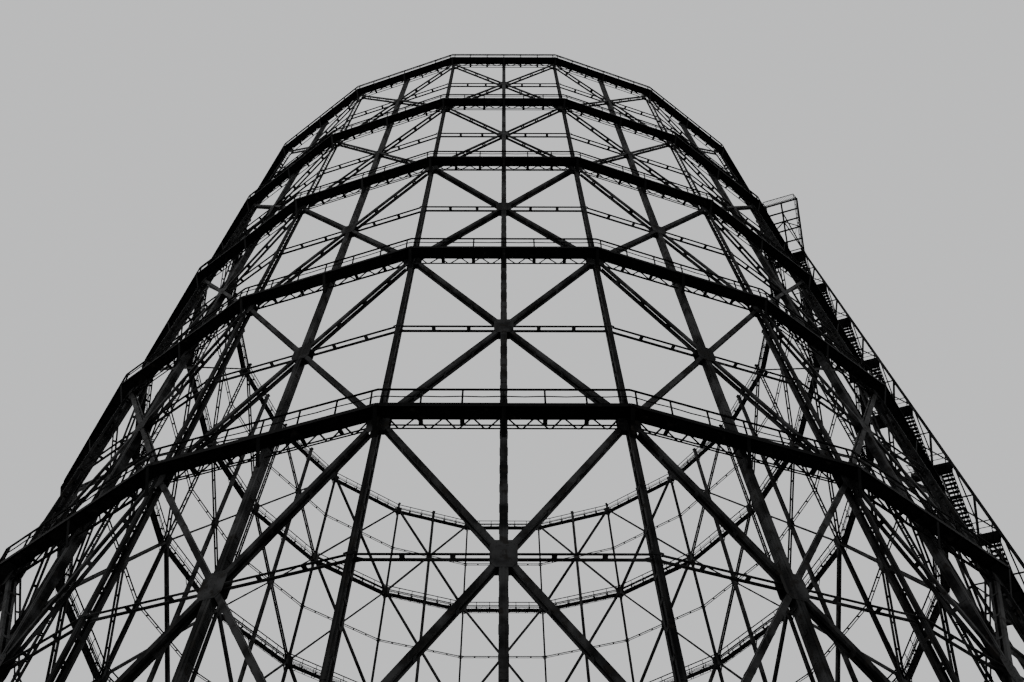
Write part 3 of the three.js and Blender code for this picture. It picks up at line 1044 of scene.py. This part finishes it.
def tower_end(x, turned, first):
    """One end frame of the tower. first is the level of its lowest landing, in quarters of a tier."""
    iron = Ironwork()

    def at(out, z):
        """A point of the end frame."""
        return x, -out, z

    for out, side in ((tower_inner, 1), (tower_outer, -1)):
        corner = at(out - side * tower_leg / 2, 0)
        angle = angle_section(tower_leg, tower_angle_plate)
        iron.sweep(angle, corner, (turned, 0, 0), (0, -side, 0), (0, 0, tower_top))
        middle = x + turned * tower_leg / 2
        iron.block(around(middle, tower_base_width), around(out, tower_base_width), (0.0, tower_base_plate))
    for level in range(1, 4 * tiers + 1):
        ends = [at(out, level * quarter_tier) for out in (tower_inner, tower_outer)]
        add_cross(iron, *ends, strut_width, strut_width, strut_plate, upwards)
    for landing in range(first, 4 * tiers - 1, 2):
        low, high = max(landing * quarter_tier, lowest_brace), (landing + 1) * quarter_tier
        ends = at(tower_outer, high), at(brace_foot_out, low)
        add_cross(iron, *ends, brace_flat, brace_web, brace_plate, inwards)
        for shift in around(0, thin_gap):
            ends = at(tower_inner, high + shift), at(tower_outer, low + shift)
            iron.bar(*ends, thin_flat, thin_plate, upwards)
        top = at(tower_outer, high + quarter_tier - long_head_drop)
        iron.bar(top, at(long_foot_out, low + quarter_tier / 3), long_flat, long_plate, inwards)
    for drop, width, plate in tower_head_bars:
        iron.bar(*(at(out, tower_top - drop) for out in (tower_inner, tower_outer)), width, plate, upwards)
    return iron


stair_paint = painted_steel("stair_coat", coat_black, coat_faded, 0.40)
for name, x, turned, first in (("near", 0.0, 1, 0), ("far", tower_length, -1, 1)):
    mesh = tower_end(x, turned, first).mesh(f"tower_{name}_ironwork", stair_paint)
    place(f"tower_{name}_frame", mesh, "stair_paint", [f"stair_tower_{name}_frame"], stair_angle)


# Stairs. In each tier two flights climb away and two climb back between landings of ribbed
# plate. The treads are bent plates riveted between flanged stringers, with pipe handrails,
# and a gangway leads from the upper landing to the walkway.
deck_lift = 0.004
landing_depth = 0.096
landing_plate = 0.002
landing_edge = 0.016
landing_rim = 0.0016
landing_bearers = 3
bearer_width = 0.002
bearer_foot = 0.003
well_inner = tower_inner + 0.0075
well_outer = tower_outer + 0.007
lane_gap = 0.006
lane_width = (well_outer - well_inner - lane_gap) / 2
inner_lane = (well_inner, well_inner + lane_width)
outer_lane = (well_outer - lane_width, well_outer)
treads = 14
tread_depth = 0.026
tread_plate = 0.0014
tread_lip = 0.004
stringer_height = 0.020
stringer_plate = 0.0020
stringer_drop = 0.004
stringer_inset = 0.001
stringer_flange = 0.0070
flange_plate = 0.0016
middle_stringer = 0.0036
near_edge = 0.0045
far_edge = tower_length - 0.0045
stair_rail_height = 0.095
stair_rail_radius = 0.0040
stair_rail_inset = 0.003
stair_post_radius = 0.0026
stair_posts = (0.04, 0.35, 0.66, 0.97)
ground_gap = 0.020
guard_height = stair_rail_height + 0.010
guard_middle = stair_rail_height * 0.55
gangway_width = 0.080
gangway_gap = 0.0015
gangway_guard_gap = 0.003


def stair_level(step):
    """Level of a landing, counted in quarters of a tier from the ground."""
    return step * quarter_tier + deck_lift if step else 0.0


def add_stringers(iron, foot, head, across, lane):
    """The two flanged stringers of a flight and the bearer under the middle of its treads."""
    plates = (stringer_plate, middle_stringer, stringer_plate)
    outs = (lane[0] + stringer_inset, sum(lane) / 2, lane[1] - stringer_inset)
    for out, plate in zip(outs, plates):
        side = Vector((0, -out, 0))
        iron.bar(foot + side, head + side, stringer_height, plate, across)
    for out in (lane[0] + stringer_flange / 2, lane[1] - stringer_flange / 2):
        side = Vector((0, -out, 0)) - across * (stringer_height - flange_plate) / 2
        iron.bar(foot + side, head + side, flange_plate, stringer_flange, across)


def add_flight(iron, x_low, x_high, z_low, z_high, lane):
    """One flight between two landings, with its stringers, treads and two handrails."""
    low, high = Vector((x_low, 0, z_low)), Vector((x_high, 0, z_high))
    slope = (high - low).normalized()
    heading = 1 if x_high > x_low else -1
    across = Vector((-slope.z, 0, slope.x)) * heading
    sunk = across * stringer_drop
    foot = low + slope * (ground_gap if z_low == 0 else 0.0) - sunk
    add_stringers(iron, foot, high - sunk, across, lane)
    going = (x_high - x_low) / treads
    riser = (z_high - z_low) / (treads + 1)
    for tread in range(treads):
        x = x_low + (tread + 0.5) * going
        z = z_low + (tread + 1) * riser
        iron.block(around(x, tread_depth), lane, (z - tread_plate, z))
        nose = x - heading * tread_depth / 2
        iron.block(sorted((nose, nose + heading * tread_plate)), lane, (z - tread_lip, z - tread_plate))
    lift = Vector((0, 0, stair_rail_height))
    for out in (lane[0] + stair_rail_inset, lane[1] - stair_rail_inset):
        side = Vector((0, -out, 0))
        iron.rod([low + side + lift, high + side + lift], stair_rail_radius, 5)
        iron.rod([low + side + lift * 0.5, high + side + lift * 0.5], middle_rail_radius, 4)
        for share in stair_posts:
            foot = low.lerp(high, share) + side
            iron.rod([foot, foot + lift], stair_post_radius, 4)


def add_platform(iron, xs, outs, level):
    """A ribbed plate in a frame of channels, with cross bearers under it."""
    iron.block(xs, outs, (level - landing_plate, level))
    low, under = level - landing_edge, level - landing_plate
    inside = (xs[0] + landing_rim, xs[1] - landing_rim)
    for rim in ((xs[0], inside[0]), (inside[1], xs[1])):
        iron.block(rim, outs, (low, under))
    for out in (outs[0], outs[1] - landing_rim):
        iron.block(inside, (out, out + landing_rim), (low, under))
    for n in range(1, landing_bearers + 1):
        out = outs[0] + (outs[1] - outs[0]) * n / (landing_bearers + 1)
        iron.block(inside, around(out, bearer_width), (low + bearer_foot, under))


def add_guard(iron, start, end, level):
    """A top rail and a middle rail on posts, between two points in x and out."""
    feet = [Vector((x, -out, level)) for x, out in (start, end)]
    rails = ((guard_height, stair_rail_radius), (guard_middle, middle_rail_radius))
    for rise, radius in rails:
        iron.rod([foot + Vector((0, 0, rise)) for foot in feet], radius, 5)
    for foot in feet:
        iron.rod([foot, foot + Vector((0, 0, guard_height))], stair_post_radius, 4)


def stair_ironwork(tier):
    """The four flights of one tier, with their landings and the gangway."""
    iron = Ironwork()
    near_x = near_edge + landing_depth
    far_x = far_edge - landing_depth
    outs = (well_inner, well_outer)
    for step in range(tier * 4, tier * 4 + 4, 2):
        low, middle, high = (stair_level(step + n) for n in range(3))
        add_flight(iron, near_x, far_x, low, middle, inner_lane)
        add_platform(iron, (far_x, far_edge), outs, middle)
        add_guard(iron, (far_edge, outs[0]), (far_edge, outs[1]), middle)
        add_flight(iron, far_x, near_x, middle, high, outer_lane)
        add_platform(iron, (near_edge, near_x), outs, high)
        add_guard(iron, (near_edge, outs[0]), (near_edge, outs[1]), high)
        add_guard(iron, (near_edge, outs[1]), (near_x, outs[1]), high)
    deck = stair_level(tier * 4 + 4)
    gangway = (near_x - gangway_width, near_x)
    add_platform(iron, gangway, (deck_edge + gangway_gap, well_inner), deck)
    for x in gangway:
        add_guard(iron, (x, deck_edge + gangway_guard_gap), (x, well_inner), deck)
    return iron


for tier in range(tiers):
    name = f"stair_tier_{tier + 1}"
    mesh = stair_ironwork(tier).mesh(f"stair_{tier + 1}_ironwork", stair_paint)
    place(f"open_{name}", mesh, "stair_paint", [name], stair_angle)


# Top platform. An open frame of joists lies beside the stair head at the level of the top
# walkway, with crossed flats in its plane and a barred railing across its far end.
platform_end = -0.660
platform_near = -0.0045
platform_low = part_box("top_platform")[0].z
platform_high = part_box("top_platform")[1].z
platform_outs = (deck_edge + 0.005, 3.275, 3.437)
platform_bays = (0.110, 0.110, 0.110, 0.142)
platform_beam = 0.0155
joist_inset = 0.001
plan_lift = 0.002
platform_rail = 0.110
platform_rail_radius = 0.0046
platform_foot_radius = 0.0034
platform_side_radius = 0.0036
platform_side_rail = 0.055
platform_foot_rail = 0.012
platform_post_radius = 0.0030
railing_bar_pitch = 0.015
railing_bar_radius = 0.0022
plan_flat = (0.011, 0.0022)
long_strut = (0.014, 0.012)
long_strut_drop = 0.10
short_strut = (0.006, 0.0022)
knee_strut = (0.006, 0.0016)
knee_strut_drop = 0.20


def platform_joists():
    """Where the joists lie along the platform, from its far end."""
    joists = [platform_end + platform_beam / 2]
    for bay in platform_bays:
        joists.append(joists[-1] + bay)
    return joists + [platform_near - platform_beam / 2]


def add_railing(iron, joists):
    """The barred railing across the far end, and two rails on posts along each side."""
    inner, _, outer = platform_outs
    top = platform_high + platform_rail
    rails = ((top, platform_rail_radius), (platform_high + platform_foot_rail, platform_foot_radius))
    for z, radius in rails:
        iron.rod([(platform_end, -out, z) for out in (inner, outer)], radius, 5)
    bars = round((outer - inner) / railing_bar_pitch)
    for n in range(bars + 1):
        out = inner + (outer - inner) * n / bars
        iron.rod([(platform_end, -out, z) for z in (platform_high, top)], railing_bar_radius, 4)
    for out in (inner, outer):
        for z in (platform_high + platform_side_rail, top):
            iron.rod([(x, -out, z) for x in (platform_end, platform_near)], platform_side_radius, 5)
        for x in joists:
            iron.rod([(x, -out, z) for z in (platform_high, top)], platform_post_radius, 4)


def platform_ironwork():
    """The long beams, joists, plan bracing, struts and railing."""
    iron = Ironwork()
    joists = platform_joists()
    inner, middle, outer = platform_outs
    for out in platform_outs:
        iron.block((platform_end, platform_near), around(out, platform_beam), (platform_low, platform_high))
    zs = (platform_low + joist_inset, platform_high - joist_inset)
    for x in joists:
        iron.block(around(x, platform_beam), (inner, outer), zs)
    under = platform_low + plan_lift
    for x, out in ((joists[-1], outer), (joists[3], inner), (joists[3], outer)):
        iron.bar((joists[2], -middle, under), (x, -out, under), *plan_flat, inwards)
    head = Vector((joists[1], -middle, under))
    foot = Vector((platform_near, -outer, platform_low - long_strut_drop))
    iron.bar(head, foot, *long_strut, upwards)
    iron.bar((joists[2], -outer, under), head.lerp(foot, 0.5), *short_strut, upwards)
    for x in (joists[2], joists[-2]):
        foot = (x, -deck_edge, platform_low - knee_strut_drop)
        iron.bar((x, -middle, platform_low), foot, *knee_strut, rightwards)
    add_railing(iron, joists)
    return iron


platform_mesh = platform_ironwork().mesh("platform_ironwork", stair_paint)
place("open_top_platform", platform_mesh, "stair_paint", ["top_platform"], stair_angle)


# Studio. A plain pale floor, soft light from all round above and one broad soft lamp, and the
# camera where the photograph was taken: outside the front side, near the ground, tilted up.
floor_size = 30.0
floor_sink = 0.0005
floor_rough = 0.9
sky_pale = (0.74, 0.745, 0.75, 1)
lamp_size = 8.0
lamp_watts = 520.0
lamp_place = (-9.0, -12.0, 11.0)
lamp_aim = (0, 0, 4)
floor_pale = (0.60, 0.60, 0.60, 1)
floor_mesh = bpy.data.meshes.new("floor")
floor_edges = around(0, floor_size)
floor_mesh.from_pydata([(x, y, 0) for x, y in rectangle(floor_edges, floor_edges)], [], [(0, 1, 2, 3)])
floor = bpy.data.objects.new("floor", floor_mesh)
floor_finish, _, floor_shader = new_finish("floor_pale")
floor_shader.inputs["Base Color"].default_value = floor_pale
floor_shader.inputs["Roughness"].default_value = floor_rough
floor_mesh.materials.append(floor_finish)
bpy.context.scene.collection.objects.link(floor)
floor.location.z = -floor_sink

studio = bpy.data.worlds.new("soft_studio")
studio.use_nodes = True
backdrop = studio.node_tree.nodes["Background"]
backdrop.inputs["Color"].default_value = sky_pale
backdrop.inputs["Strength"].default_value = 1.0
bpy.context.scene.world = studio

lamp_data = bpy.data.lights.new("soft_lamp", "AREA")
lamp_data.size = lamp_size
lamp_data.energy = lamp_watts
lamp = bpy.data.objects.new("soft_lamp", lamp_data)
lamp.location = lamp_place
lamp.rotation_euler = (Vector(lamp_aim) - lamp.location).to_track_quat("-Z", "Y").to_euler()
bpy.context.scene.collection.objects.link(lamp)

photo_width = 1024
focal_pixels = 817.9
tilt_up = math.radians(57.72)
turn_left = 0.0022
camera_side = -0.0032
camera_distance = 4.9886
camera_height = 0.254
middle_line = 504
camera_data = bpy.data.cameras.new("camera")
camera_data.sensor_width = 36.0
camera_data.lens = focal_pixels * camera_data.sensor_width / photo_width
camera_data.shift_x = (photo_width / 2 - middle_line) / photo_width
camera_data.clip_end = 100.0
camera = bpy.data.objects.new("camera", camera_data)
camera.location = (camera_side, -camera_distance, camera_height)
camera.rotation_euler = (math.pi / 2 + tilt_up, 0, -turn_left)
bpy.context.scene.collection.objects.link(camera)
bpy.context.scene.camera = camera
